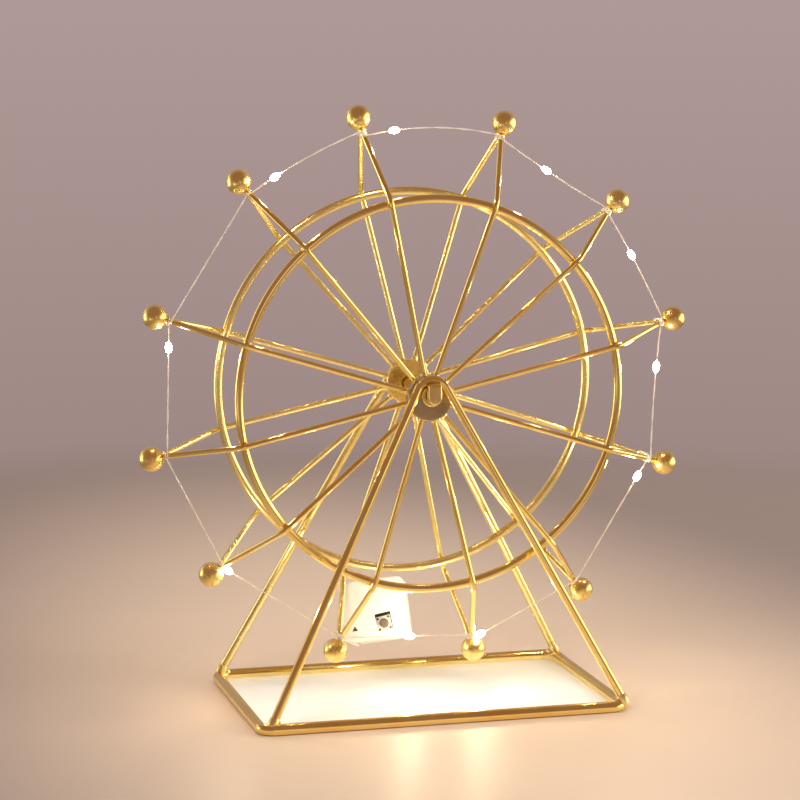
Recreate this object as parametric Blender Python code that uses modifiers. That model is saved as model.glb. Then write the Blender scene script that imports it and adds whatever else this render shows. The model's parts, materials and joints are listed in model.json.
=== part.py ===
"""Decorative tabletop wheel in gilt wire, with a battery light string wound round its rim.

A rod base holds a pale plate and two bent A-frames. The frames carry two collars with a tab in
front of each, and the wheel's axle turns in them: two hub drums, two wire rings, twenty-four bent
spokes and twelve balls. The light string and its battery box ride on the wheel. Metres, +Z up,
front towards -Y.
"""
import math

import bpy
import bmesh
from mathutils import Matrix, Vector

MM = 0.001
GAP = 0.3 * MM
WELD_DISTANCE = 0.01 * MM

# Base: a closed rectangle of round rod round a flat plate.
BASE_WIDTH = 149.0 * MM
BASE_DEPTH = 89.5 * MM
BASE_ROD_RADIUS = 2.25 * MM
BASE_CORNER_RADIUS = 5.0 * MM
PLATE_THICKNESS = 3.0 * MM

# Frames, rings and spokes: wire sizes.
FRAME_WIRE_RADIUS = 1.75 * MM
RING_WIRE_RADIUS = 1.75 * MM
SPOKE_WIRE_RADIUS = 1.15 * MM
FOOT_BEAD_RADIUS = 2.0 * MM

# Hub, from the middle outwards. The drums were soldered on by hand, so each sits a little off the
# axle's middle: the front one by the first value, the back one by the second, upwards.
AXLE_RADIUS = 2.7 * MM
DRUM_RADIUS = 9.2 * MM
DRUM_INNER_Y = 13.5 * MM
DRUM_OUTER_Y = 18.5 * MM
DRUM_RISES = (-1.5 * MM, 0.6 * MM)
COLLAR_RADIUS = 4.4 * MM
COLLAR_LENGTH = 2.65 * MM
COLLAR_END_Y = DRUM_OUTER_Y + GAP + COLLAR_LENGTH
HUB_CHAMFER = 0.4 * MM
LOOP_STEPS = 14

# Tab that hangs in each frame's loop, in front of the axle's end.
TAB_WIDTH = 5.4 * MM
TAB_THICKNESS = 3.8 * MM
TAB_BELOW_AXLE = 3.3 * MM
TAB_EDGE_RADIUS = 0.5 * MM
TAB_STEPS = 8

# Wheel, from the balls inwards. The rings and the hub's height follow the circle of balls.
BALL_CIRCLE_RADIUS = 112.0 * MM
BALL_RADIUS = 5.0 * MM
BALL_ABOVE_FLOOR = 10.7 * MM
HUB_HEIGHT = BALL_CIRCLE_RADIUS + BALL_RADIUS + BALL_ABOVE_FLOOR
NECK_CLEARANCE = 0.8 * MM
NECK_RADIUS = BALL_CIRCLE_RADIUS - BALL_RADIUS - NECK_CLEARANCE
RING_INSIDE_NECKS = 28.0 * MM
RING_RADIUS = NECK_RADIUS - RING_INSIDE_NECKS
RING_Y = 20.0 * MM
RING_STEPS = 72
SPOKE_HUB_Y = 16.0 * MM
SPOKE_BEND_PAST_RING = 1.8 * MM
SPOKE_BEND_FILLET = 6.0 * MM
BALL_COUNT = 12
# Angle of ball 1 above the +X axis, then each hand-set ball's own error, ball 1 to ball 12.
FIRST_BALL_DEGREES = 101.8
BALL_ERRORS_DEGREES = (1.2, -0.2, -0.4, 1.2, 0.0, -2.7, 0.7, 0.4, -1.6, 0.8, 1.6, -0.7)

# Light string: turns round each ball's front spoke, and the lights as ball before: part way to next.
# After its turns the wire steps aside and climbs back to the ball, then runs on to the next one.
STRING_RADIUS = 0.3 * MM
STRING_COIL_RADIUS = 1.85 * MM
STRING_COIL_PITCH = 1.7 * MM
STRING_COIL_START = 2.1 * MM
STRING_CLIMB_ASIDE = 2.3 * MM
STRING_CLIMB_TOP = 0.2 * MM
STRING_POINTS_PER_TURN = 16
STRING_TURNS = (3, 2, 3, 3, 3, 1, 3, 1, 1, 1, 1, 1)
STRING_FIRST_BALL = 8
LIGHTS = {8: 0.93, 10: 0.807, 12: 0.245, 1: 0.236, 2: 0.434,
          3: 0.402, 4: 0.336, 5: 0.152, 6: 0.93, 7: 0.46}
LIGHT_LENGTH = 4.4 * MM
LIGHT_RADIUS = 1.3 * MM
LIGHT_STEPS = 6

# Battery box, in its own frame: X across, Y from the face backwards, Z up. It hangs behind the
# wheel's middle, a little above the lowest necks.
CASE_WIDTH = 27.0 * MM
CASE_HEIGHT = 25.0 * MM
CASE_DEPTH = 10.6 * MM
CASE_WALL = 1.2 * MM
CASE_CORNER_RADIUS = 3.0 * MM
CASE_EDGE_RADIUS = 0.6 * MM
CASE_LEFT = 12.9 * MM
CASE_BEHIND = 17.0 * MM
CASE_ABOVE_NECKS = 11.1 * MM
CASE_TURN_DEGREES = (-20.0, -10.0, -24.0)
SWITCH_CENTRE = (3.5 * MM, -6.2 * MM)
SWITCH_TURN_DEGREES = -6.5
SWITCH_SIDE = 6.0 * MM
SWITCH_DEPTH = 3.5 * MM
SWITCH_RECESS = 0.8 * MM
WINDOW_ABOVE_SWITCH = 1.3 * MM
BUTTON_RADIUS = 1.75 * MM
BUTTON_PROUD = 1.6 * MM
BUTTON_SUNK = 1.8 * MM
BUTTON_CHAMFER = 0.2 * MM
BUTTON_BORE_DEPTH = 2.7 * MM
BOARD_THICKNESS = 1.0 * MM
CELL_RADIUS = 10.0 * MM
CELL_THICKNESS = 3.2 * MM
CELL_RIM = 0.4 * MM
CELL_STEP = 0.8 * MM
CELL_STEP_INSET = 1.2 * MM
CELL_OFFSET = 0.5 * MM
COVER_THICKNESS = 1.2 * MM
LEAD_HOLE_RADIUS = 0.9 * MM
LEAD_HOLE = (-8.5 * MM, 6.0 * MM)
LEAD_STUB = 2.0 * MM
LEAD_FORWARD = 1.5 * MM
LEAD_SAG = 1.0 * MM

GOLD = (0.76, 0.50, 0.18, 1.0)
PALE = (0.93, 0.90, 0.84, 1.0)
WHITE = (0.90, 0.89, 0.86, 1.0)
COPPER = (0.80, 0.62, 0.40, 1.0)
BLACK = (0.02, 0.02, 0.02, 1.0)
STEEL = (0.72, 0.72, 0.70, 1.0)
BOARD_GREEN = (0.05, 0.22, 0.10, 1.0)


def clear_scene():
    for item in list(bpy.data.objects):
        bpy.data.objects.remove(item, do_unlink=True)


def make_collection(name):
    collection = bpy.data.collections.new(name)
    bpy.context.scene.collection.children.link(collection)
    return collection


def make_material(name, colour, roughness, metallic):
    material = bpy.data.materials.new(name)
    material.use_nodes = True
    shader = material.node_tree.nodes["Principled BSDF"]
    shader.inputs["Base Color"].default_value = colour
    shader.inputs["Roughness"].default_value = roughness
    shader.inputs["Metallic"].default_value = metallic
    return material


def add_object(name, data, material, collection, parent=None):
    item = bpy.data.objects.new(name, data)
    collection.objects.link(item)
    item.parent = parent
    if not data.materials:
        data.materials.append(material)
    return item


def add_mesh(name, build, material, collection, parent=None):
    """A mesh object whose faces build(bm) makes with bmesh operators."""
    bm = bmesh.new()
    build(bm)
    mesh = bpy.data.meshes.new(name)
    bm.to_mesh(mesh)
    bm.free()
    mesh.shade_smooth()
    mesh.set_sharp_from_angle(angle=math.radians(35))
    return add_object(name, mesh, material, collection, parent)


def rounded_path(corners, radius, steps, closed=False):
    """Points of a polyline whose corners are arcs of the given radius."""
    points = []
    count = len(corners)
    for index, corner in enumerate(corners):
        if not closed and index in (0, count - 1):
            points.append(corner.copy())
            continue
        before = (corners[index - 1] - corner).normalized()
        after = (corners[(index + 1) % count] - corner).normalized()
        half = before.angle(after) / 2
        reach = radius / math.tan(half)
        centre = corner + (before + after).normalized() * (radius / math.sin(half))
        start = corner + before * reach - centre
        end = corner + after * reach - centre
        sweep = start.angle(end)
        for step in range(steps + 1):
            share = step / steps
            arm = start * math.sin((1 - share) * sweep) + end * math.sin(share * sweep)
            points.append(centre + arm / math.sin(sweep))
    return points


def tube_curve(name, points, radius, resolution, closed=False, swell=None):
    """A round tube along a polyline; swell gives each point's share of the radius."""
    curve = bpy.data.curves.new(name, "CURVE")
    curve.dimensions = "3D"
    curve.bevel_depth = radius
    curve.bevel_resolution = resolution
    curve.use_fill_caps = not closed
    spline = curve.splines.new("POLY")
    spline.points.add(len(points) - 1)
    for index, point in enumerate(points):
        spline.points[index].co = (point.x, point.y, point.z, 1.0)
        if swell:
            spline.points[index].radius = swell[index]
    spline.use_cyclic_u = closed
    spline.use_smooth = True
    return curve


def curve_to_mesh(item):
    """Replace a curve object by a mesh object of the same name, with its caps welded."""
    name = item.name
    evaluated = item.evaluated_get(bpy.context.evaluated_depsgraph_get())
    mesh = bpy.data.meshes.new_from_object(evaluated)
    bm = bmesh.new()
    bm.from_mesh(mesh)
    bmesh.ops.remove_doubles(bm, verts=bm.verts, dist=WELD_DISTANCE)
    bmesh.ops.recalc_face_normals(bm, faces=bm.faces)
    bm.to_mesh(mesh)
    bm.free()
    collection = item.users_collection[0]
    parent = item.parent
    matrix = item.matrix_world.copy()
    bpy.data.objects.remove(item, do_unlink=True)
    result = bpy.data.objects.new(name, mesh)
    collection.objects.link(result)
    result.parent = parent
    result.matrix_world = matrix
    return result


def add_boolean(item, other, operation):
    modifier = item.modifiers.new(other.name, "BOOLEAN")
    modifier.operation = operation
    modifier.solver = "EXACT"
    modifier.object = other


def as_cutter(item):
    item.hide_render = True
    item.display_type = "WIRE"
    return item


def turned(name, profile, sides, material, collection, parent=None):
    """A solid turned about the Y axis: profile points are (radius, place along Y)."""
    mesh = bpy.data.meshes.new(name)
    points = [(radius, 0.0, along) for radius, along in profile]
    edges = [(index, index + 1) for index in range(len(points) - 1)]
    if points[0] != points[-1] and points[0][0] > 0:
        edges.append((len(points) - 1, 0))
    mesh.from_pydata(points, edges, [])
    item = add_object(name, mesh, material, collection, parent)
    screw = item.modifiers.new("Turn", "SCREW")
    screw.axis = "Z"
    screw.steps = sides
    screw.render_steps = sides
    screw.use_merge_vertices = True
    screw.merge_threshold = WELD_DISTANCE
    screw.use_smooth_shade = True
    item.rotation_euler = (math.radians(-90), 0, 0)
    return item


def bored_profile(bore, radius, start, end, chamfer):
    """Outer side from top to bottom, then back up the bore: a ring with chamfered outer rims.

    With a bore of 0 it is a solid disc.
    """
    return [(bore, end), (radius - chamfer, end), (radius, end - chamfer),
            (radius, start + chamfer), (radius - chamfer, start), (bore, start)]


def rectangle_corners(width, depth, height):
    x, y = width / 2, depth / 2
    return [Vector((-x, -y, height)), Vector((x, -y, height)),
            Vector((x, y, height)), Vector((-x, y, height))]


def build_base(parts, gold, pale):
    rod = rounded_path(rectangle_corners(BASE_WIDTH, BASE_DEPTH, BASE_ROD_RADIUS),
                       BASE_CORNER_RADIUS, 6, closed=True)
    add_object("base_frame", tube_curve("base_frame", rod, BASE_ROD_RADIUS, 4, closed=True),
               gold, parts)

    inset = 2 * (BASE_ROD_RADIUS + GAP)
    outline = rounded_path(rectangle_corners(BASE_WIDTH - inset, BASE_DEPTH - inset, 0),
                           BASE_CORNER_RADIUS - inset / 2, 5, closed=True)
    plate = bpy.data.curves.new("base_plate", "CURVE")
    plate.dimensions = "2D"
    plate.fill_mode = "BOTH"
    plate.extrude = PLATE_THICKNESS / 2
    spline = plate.splines.new("POLY")
    spline.points.add(len(outline) - 1)
    for index, point in enumerate(outline):
        spline.points[index].co = (point.x, point.y, 0, 1)
    spline.use_cyclic_u = True
    item = add_object("base_plate", plate, pale, parts)
    item.location = (0, 0, PLATE_THICKNESS / 2)


def frame_path(side):
    """Centreline of one bent A-frame; side is -1 at the front, 1 at the back."""
    corner = BASE_CORNER_RADIUS * (1 - math.sqrt(0.5))
    foot_x = BASE_WIDTH / 2 - corner
    foot_y = BASE_DEPTH / 2 - corner
    foot_z = 2 * BASE_ROD_RADIUS + GAP + FOOT_BEAD_RADIUS
    apex_y = COLLAR_END_Y + GAP / 2
    loop = COLLAR_RADIUS + GAP + FRAME_WIRE_RADIUS
    drop = HUB_HEIGHT - foot_z
    reach = math.hypot(foot_x, drop)
    tangent = math.atan2(drop, foot_x) - math.acos(loop / reach)
    flat = [(foot_x, -drop)]
    for step in range(LOOP_STEPS + 1):
        angle = -tangent + (math.pi + 2 * tangent) * step / LOOP_STEPS
        flat.append((loop * math.cos(angle), loop * math.sin(angle)))
    flat.append((-foot_x, -drop))
    lean = (foot_y - apex_y) / drop
    return [Vector((x, side * (apex_y - z * lean), HUB_HEIGHT + z)) for x, z in flat]


def build_a_frame(name, side, parts, cutters, gold):
    path = frame_path(side)
    wire = add_object(name, tube_curve(name, path, FRAME_WIRE_RADIUS, 3), gold, parts)
    frame = curve_to_mesh(wire)
    for label, foot in (("right", path[0]), ("left", path[-1])):
        bead = add_mesh(f"{name}_{label}_foot",
                        lambda bm: bmesh.ops.create_uvsphere(bm, u_segments=14, v_segments=8,
                                                             radius=FOOT_BEAD_RADIUS),
                        gold, cutters)
        bead.location = foot
        add_boolean(frame, as_cutter(bead), "UNION")


def build_tab(name, side, parts, gold):
    """A bar with a round lower end whose upper end follows the frame's loop."""
    half = TAB_WIDTH / 2
    outline = []
    for step in range(TAB_STEPS + 1):
        angle = math.pi + math.pi * step / TAB_STEPS
        outline.append((half * math.cos(angle), half * (1 + math.sin(angle)) - TAB_BELOW_AXLE))
    corner = math.acos(half / COLLAR_RADIUS)
    for step in range(TAB_STEPS + 1):
        angle = corner + (math.pi - 2 * corner) * step / TAB_STEPS
        outline.append((COLLAR_RADIUS * math.cos(angle), COLLAR_RADIUS * math.sin(angle)))
    inner = side * (COLLAR_END_Y + GAP)

    def build(bm):
        face = bm.faces.new([bm.verts.new((x, inner, z)) for x, z in outline])
        made = bmesh.ops.extrude_face_region(bm, geom=[face])["geom"]
        moved = [item for item in made if isinstance(item, bmesh.types.BMVert)]
        bmesh.ops.translate(bm, verts=moved, vec=(0, side * TAB_THICKNESS, 0))
        outer = inner + side * TAB_THICKNESS
        rim = [edge for edge in bm.edges
               if all(abs(vert.co.y - outer) < WELD_DISTANCE for vert in edge.verts)]
        bmesh.ops.bevel(bm, geom=rim, offset=TAB_EDGE_RADIUS, segments=2, profile=0.5,
                        affect="EDGES")
        bmesh.ops.recalc_face_normals(bm, faces=bm.faces)

    tab = add_mesh(name, build, gold, parts)
    tab.location = (0, 0, HUB_HEIGHT)


def build_stand(parts, cutters, gold, pale):
    build_base(parts, gold, pale)
    build_a_frame("front_a_frame", -1, parts, cutters, gold)
    build_a_frame("back_a_frame", 1, parts, cutters, gold)
    for label, side in (("front", -1), ("back", 1)):
        middle = side * (COLLAR_END_Y - COLLAR_LENGTH / 2)
        profile = bored_profile(AXLE_RADIUS + GAP, COLLAR_RADIUS, middle - COLLAR_LENGTH / 2,
                                middle + COLLAR_LENGTH / 2, HUB_CHAMFER)
        collar = turned(f"{label}_collar", profile, 24, gold, parts)
        collar.location = (0, 0, HUB_HEIGHT)
        build_tab(f"{label}_axle_tab", side, parts, gold)


def build_hub(parts, cutters, gold, wheel):
    axle = bored_profile(0, AXLE_RADIUS, -COLLAR_END_Y, COLLAR_END_Y, HUB_CHAMFER)
    turned("axle", axle, 24, gold, parts, wheel)
    bore = AXLE_RADIUS + GAP
    cutter = turned("drum_bore", [(0, COLLAR_END_Y), (bore, COLLAR_END_Y), (bore, -COLLAR_END_Y),
                                  (0, -COLLAR_END_Y)], 24, gold, cutters, wheel)
    as_cutter(cutter)
    for label, start, rise in (("front", -DRUM_OUTER_Y, DRUM_RISES[0]),
                               ("back", DRUM_INNER_Y, DRUM_RISES[1])):
        profile = bored_profile(0, DRUM_RADIUS, start, start + DRUM_OUTER_Y - DRUM_INNER_Y,
                                HUB_CHAMFER)
        drum = turned(f"{label}_hub_drum", profile, 32, gold, parts, wheel)
        drum.location = (0, 0, rise)
        add_boolean(drum, cutter, "DIFFERENCE")


def wheel_turn(number):
    """Turns a place along +X to the angle of a ball."""
    return Matrix.Rotation(-ball_angle(number), 3, "Y")


def spoke_ends(side, number):
    """Hub end, bend and neck end of one spoke, as vectors in the wheel's frame."""
    turn = wheel_turn(number)
    bend_y = RING_Y + RING_WIRE_RADIUS + GAP + SPOKE_WIRE_RADIUS
    neck_y = SPOKE_WIRE_RADIUS * math.cos(spoke_slope()) + GAP / 2
    bend = turn @ Vector((RING_RADIUS + SPOKE_BEND_PAST_RING, side * bend_y, 0))
    neck = turn @ Vector((NECK_RADIUS, side * neck_y, 0))
    drum = Vector((0, side * SPOKE_HUB_Y, DRUM_RISES[0] if side < 0 else DRUM_RISES[1]))
    outward = Vector((bend.x - drum.x, 0, bend.z - drum.z)).normalized()
    return drum + outward * (DRUM_RADIUS + GAP), bend, neck


def spoke_slope():
    """Angle of the spoke's outer part to the wheel's plane."""
    rise = RING_Y + RING_WIRE_RADIUS
    return math.atan2(rise, NECK_RADIUS - RING_RADIUS - SPOKE_BEND_PAST_RING)


def ball_angle(number):
    step = math.radians(360 / BALL_COUNT)
    error = math.radians(BALL_ERRORS_DEGREES[number - 1])
    return math.radians(FIRST_BALL_DEGREES) - step * (number - 1) + error


def build_wheel(parts, cutters, gold, wheel):
    build_hub(parts, cutters, gold, wheel)
    for name, side in (("front_ring", -1), ("back_ring", 1)):
        circle = []
        for step in range(RING_STEPS):
            angle = math.tau * step / RING_STEPS
            circle.append(Vector((RING_RADIUS * math.cos(angle), side * RING_Y,
                                  RING_RADIUS * math.sin(angle))))
        ring = tube_curve(name, circle, RING_WIRE_RADIUS, 2, closed=True)
        add_object(name, ring, gold, parts, wheel)
    for side, label in ((-1, "front"), (1, "back")):
        for number in range(1, BALL_COUNT + 1):
            name = f"{label}_spoke_{number:02d}"
            path = rounded_path(spoke_ends(side, number), SPOKE_BEND_FILLET, 5)
            add_object(name, tube_curve(name, path, SPOKE_WIRE_RADIUS, 2), gold, parts, wheel)
    for number in range(1, BALL_COUNT + 1):
        item = add_mesh(f"ball_{number:02d}", lambda bm: bmesh.ops.create_uvsphere(
            bm, u_segments=16, v_segments=10, radius=BALL_RADIUS), gold, parts, wheel)
        angle = ball_angle(number)
        item.location = (BALL_CIRCLE_RADIUS * math.cos(angle), 0, BALL_CIRCLE_RADIUS * math.sin(angle))


def neck_coil(number, side, turns, climbs):
    """Points of the string wound round one spoke just inside its ball, in the wheel's frame.

    It comes in and leaves on the coil's outer side, towards the next higher ball number. Where it
    climbs, it goes back beside the coil to the ball.
    """
    _, bend, neck = spoke_ends(side, number)
    inward = (bend - neck).normalized()
    onward = wheel_turn(number) @ Vector((0, 0, -1))
    outward = inward.cross(onward) * -side
    places = []
    for step in range(turns * STRING_POINTS_PER_TURN + 1):
        angle = math.tau * step / STRING_POINTS_PER_TURN
        travel = STRING_COIL_START + STRING_COIL_PITCH * step / STRING_POINTS_PER_TURN
        arm = outward * math.cos(angle) + onward * math.sin(angle)
        places.append(neck + inward * travel + arm * STRING_COIL_RADIUS)
    if climbs:
        aside = places[-1] + onward * STRING_CLIMB_ASIDE
        climb = STRING_CLIMB_TOP - STRING_COIL_START - STRING_COIL_PITCH * turns
        places = places[:-1] + rounded_path([places[-1], aside, aside + inward * climb],
                                            STRING_CLIMB_ASIDE / 2, 3)
    return places


def light_points(start, end, share):
    """Points and radius shares of the moulded light bead part way along a straight run."""
    along = (end - start).normalized()
    centre = start.lerp(end, share)
    points = []
    radii = []
    for step in range(LIGHT_STEPS + 1):
        place = 2 * step / LIGHT_STEPS - 1
        points.append(centre + along * place * LIGHT_LENGTH / 2)
        bulge = math.sqrt(max(0.0, 1 - place * place))
        radii.append(1 + (LIGHT_RADIUS / STRING_RADIUS - 1) * bulge)
    return points, radii


def string_route(lead):
    """Points and radius shares of the whole light string, from the battery box and once round."""
    points = list(lead)
    radii = [1.0] * len(points)
    for offset in range(BALL_COUNT + 1):
        number = (STRING_FIRST_BALL - 1 + offset) % BALL_COUNT + 1
        last = offset == BALL_COUNT
        side = 1 if last else -1
        coil = neck_coil(number, side, 1 if last else STRING_TURNS[number - 1], not last)
        if offset:
            before = (number - 2) % BALL_COUNT + 1
            bead, swell = light_route(points[-1], coil[0], before)
            points += bead
            radii += swell
        points += coil
        radii += [1.0] * len(coil)
    return points, radii


def light_route(start, end, before):
    if before not in LIGHTS:
        return [], []
    return light_points(start, end, LIGHTS[before])


def least_gap(points, radius, skip):
    """Least clear distance between stretches of one tube that aren't neighbours along it."""
    spaced = []
    for start, end in zip(points, points[1:]):
        count = max(1, math.ceil((end - start).length / (0.4 * MM)))
        spaced += [start.lerp(end, step / count) for step in range(count)]
    travel = [0.0]
    for start, end in zip(spaced, spaced[1:]):
        travel.append(travel[-1] + (end - start).length)
    best = 1.0
    cell = 3 * MM
    grid = {}
    for index, point in enumerate(spaced):
        key = tuple(math.floor(value / cell) for value in point)
        for x in (-1, 0, 1):
            for y in (-1, 0, 1):
                for z in (-1, 0, 1):
                    for other in grid.get((key[0] + x, key[1] + y, key[2] + z), ()):
                        if travel[index] - travel[other] > skip:
                            best = min(best, (point - spaced[other]).length)
        grid.setdefault(key, []).append(index)
    return best - 2 * radius


def case_frame():
    turn = [math.radians(value) for value in CASE_TURN_DEGREES]
    rotation = Matrix.Rotation(turn[2], 4, "Z") @ Matrix.Rotation(turn[0], 4, "X")
    rotation = rotation @ Matrix.Rotation(turn[1], 4, "Y")
    place = Vector((-CASE_LEFT, CASE_BEHIND, CASE_ABOVE_NECKS - NECK_RADIUS))
    return Matrix.Translation(place) @ rotation


def block(name, size, centre, material, collection, parent, bevel=0.0, steps=1):
    """A box; with a bevel its edges along Y are rounded."""
    def build(bm):
        bmesh.ops.create_cube(bm, size=1.0)
        bmesh.ops.scale(bm, vec=size, verts=bm.verts)
        if bevel:
            upright = [edge for edge in bm.edges
                       if abs(edge.verts[0].co.y - edge.verts[1].co.y) > size[1] / 2]
            bmesh.ops.bevel(bm, geom=upright, offset=bevel, segments=steps, profile=0.5,
                            affect="EDGES")
    item = add_mesh(name, build, material, collection, parent)
    item.location = centre
    return item


def build_battery_box(parts, cutters, wheel, materials):
    white, black, steel, green = materials
    box = bpy.data.objects.new("battery_box_place", None)
    parts.objects.link(box)
    box.parent = wheel
    box.matrix_local = case_frame()
    front = -CASE_DEPTH / 2
    back = CASE_DEPTH / 2

    case = block("battery_case", (CASE_WIDTH, CASE_DEPTH, CASE_HEIGHT), (0, 0, 0), white, parts, box,
                 CASE_CORNER_RADIUS, 4)
    edge = case.modifiers.new("Edges", "BEVEL")
    edge.width = CASE_EDGE_RADIUS
    edge.segments = 2
    edge.limit_method = "ANGLE"
    edge.angle_limit = math.radians(50)
    inner = (CASE_WIDTH - 2 * CASE_WALL, CASE_DEPTH, CASE_HEIGHT - 2 * CASE_WALL)
    cavity = block("case_cavity", inner, (0, CASE_WALL, 0), white, cutters, box,
                   CASE_CORNER_RADIUS - CASE_WALL, 3)
    add_boolean(case, as_cutter(cavity), "DIFFERENCE")
    x, z = SWITCH_CENTRE
    turn = math.radians(SWITCH_TURN_DEGREES)
    side = SWITCH_SIDE + 2 * GAP
    rise = WINDOW_ABOVE_SWITCH / 2
    window = block("case_window", (side, 4 * CASE_WALL, side + WINDOW_ABOVE_SWITCH),
                   (x + rise * math.sin(turn), front, z + rise * math.cos(turn)), white, cutters, box)
    window.rotation_euler = (0, turn, 0)
    add_boolean(case, as_cutter(window), "DIFFERENCE")
    hole = turned("case_lead_hole", [(0, CASE_WALL * 2), (LEAD_HOLE_RADIUS, CASE_WALL * 2),
                                     (LEAD_HOLE_RADIUS, -CASE_WALL * 2), (0, -CASE_WALL * 2)],
                  12, white, cutters, box)
    hole.rotation_euler = (0, 0, 0)
    hole.location = (LEAD_HOLE[0], front + LEAD_HOLE[1], -CASE_HEIGHT / 2)
    add_boolean(case, as_cutter(hole), "DIFFERENCE")

    plate = front + SWITCH_RECESS
    body = block("switch_body", (SWITCH_SIDE, SWITCH_DEPTH, SWITCH_SIDE),
                 (x, plate + SWITCH_DEPTH / 2, z), steel, parts, box)
    body.rotation_euler = (0, turn, 0)
    bore = turned("switch_bore", [(0, BUTTON_BORE_DEPTH), (BUTTON_RADIUS + GAP, BUTTON_BORE_DEPTH),
                                  (BUTTON_RADIUS + GAP, -SWITCH_DEPTH), (0, -SWITCH_DEPTH)],
                  20, black, cutters, box)
    bore.location = (x, plate, z)
    add_boolean(body, as_cutter(bore), "DIFFERENCE")
    button = turned("switch_button",
                    [(0, BUTTON_SUNK), (BUTTON_RADIUS, BUTTON_SUNK),
                     (BUTTON_RADIUS, BUTTON_CHAMFER - BUTTON_PROUD),
                     (BUTTON_RADIUS - BUTTON_CHAMFER, -BUTTON_PROUD), (0, -BUTTON_PROUD)],
                    20, black, parts, box)
    button.location = (x, plate, z)

    rear = plate + SWITCH_DEPTH + GAP
    board_size = (CASE_WIDTH - 2 * (CASE_WALL + GAP), BOARD_THICKNESS,
                  CASE_HEIGHT - 2 * (CASE_WALL + GAP))
    block("circuit_board", board_size, (0, rear + BOARD_THICKNESS / 2, 0), green, parts, box,
          CASE_CORNER_RADIUS - CASE_WALL, 2)
    rear += BOARD_THICKNESS + GAP
    cell = turned("coin_cell",
                  [(0, CELL_THICKNESS), (CELL_RADIUS - CELL_RIM, CELL_THICKNESS),
                   (CELL_RADIUS, CELL_THICKNESS - CELL_RIM), (CELL_RADIUS, CELL_STEP),
                   (CELL_RADIUS - CELL_STEP_INSET, 0), (0, 0)],
                  32, steel, parts, box)
    cell.location = (CELL_OFFSET, rear, 0)
    block("battery_cover", (board_size[0], COVER_THICKNESS, board_size[2]),
          (0, back - COVER_THICKNESS / 2, 0), white, parts, box, CASE_CORNER_RADIUS - CASE_WALL, 2)


def build_light_string(parts, wheel, copper):
    frame = case_frame()
    hole = Vector((LEAD_HOLE[0], LEAD_HOLE[1] - CASE_DEPTH / 2, -CASE_HEIGHT / 2))
    inside = frame @ (hole + Vector((0, 0, CASE_WALL)))
    outside = frame @ (hole - Vector((0, 0, LEAD_STUB)))
    entry = neck_coil(STRING_FIRST_BALL, -1, 1, False)[0]
    middle = (outside + entry) / 2 - Vector((0, LEAD_FORWARD, LEAD_SAG))
    points, radii = string_route([inside, outside, middle])
    add_object("light_string", tube_curve("light_string", points, STRING_RADIUS, 1, swell=radii),
               copper, parts, wheel)
    length = sum((end - start).length for start, end in zip(points, points[1:]))
    print("light string length mm", round(length / MM, 1))
    print("light string least gap to itself mm",
          round(least_gap(points, STRING_RADIUS, math.pi * STRING_COIL_RADIUS) / MM, 2))


def main():
    clear_scene()
    parts = make_collection("decorative_wheel")
    cutters = make_collection("cutters")
    gold = make_material("gilt_metal", GOLD, 0.25, 1.0)
    pale = make_material("pale_plate", PALE, 0.25, 0.0)
    white = make_material("white_plastic", WHITE, 0.45, 0.0)
    copper = make_material("copper_wire", COPPER, 0.35, 1.0)
    black = make_material("black_plastic", BLACK, 0.4, 0.0)
    steel = make_material("steel", STEEL, 0.3, 1.0)
    green = make_material("board_green", BOARD_GREEN, 0.5, 0.0)

    build_stand(parts, cutters, gold, pale)
    wheel = bpy.data.objects.new("wheel_axis", None)
    parts.objects.link(wheel)
    wheel.location = (0, 0, HUB_HEIGHT)
    build_wheel(parts, cutters, gold, wheel)
    build_battery_box(parts, cutters, wheel, (white, black, steel, green))
    build_light_string(parts, wheel, copper)


main()
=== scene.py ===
import json
import math

import bmesh
import bpy
from bpy.props import FloatProperty, FloatVectorProperty, IntProperty, PointerProperty
from mathutils import Matrix, Vector


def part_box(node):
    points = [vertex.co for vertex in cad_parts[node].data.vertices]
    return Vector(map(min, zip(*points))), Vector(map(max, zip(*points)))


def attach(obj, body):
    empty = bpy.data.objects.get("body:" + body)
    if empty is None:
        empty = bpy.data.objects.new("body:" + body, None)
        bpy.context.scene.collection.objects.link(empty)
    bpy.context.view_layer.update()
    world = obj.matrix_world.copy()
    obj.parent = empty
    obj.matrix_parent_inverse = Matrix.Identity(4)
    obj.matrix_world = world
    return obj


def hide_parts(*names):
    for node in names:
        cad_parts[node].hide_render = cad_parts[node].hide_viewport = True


bl_info = {
    "name": "Wire Wheel Ornament",
    "version": (1, 0, 0),
    "blender": (4, 5, 0),
    "location": "View3D > Sidebar > Wheel",
    "description": "Gilt wire wheel on a rod base, with a battery light string wound round its rim",
    "category": "Add Mesh",
}

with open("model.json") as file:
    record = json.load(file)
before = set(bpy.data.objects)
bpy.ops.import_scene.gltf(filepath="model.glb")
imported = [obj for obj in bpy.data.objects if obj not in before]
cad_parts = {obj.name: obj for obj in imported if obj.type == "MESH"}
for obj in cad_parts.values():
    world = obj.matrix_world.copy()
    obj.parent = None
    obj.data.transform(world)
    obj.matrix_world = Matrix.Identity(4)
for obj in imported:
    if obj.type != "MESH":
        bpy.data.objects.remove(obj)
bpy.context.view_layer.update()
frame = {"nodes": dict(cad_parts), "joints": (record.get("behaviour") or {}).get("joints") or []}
MM = 0.001


def middle(node):
    low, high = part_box(node)
    return (low + high) / 2


def half_size(node):
    low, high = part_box(node)
    return (high - low) / 2


HUB = Vector(next(j["pos_m"] for j in frame["joints"] if j["name"] == "wheel_turn"))
BALLS = [f"ball_{number:02d}" for number in range(1, 13)]
BALL_ANGLES = [math.atan2((middle(ball) - HUB).z, middle(ball).x) for ball in BALLS]
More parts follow.
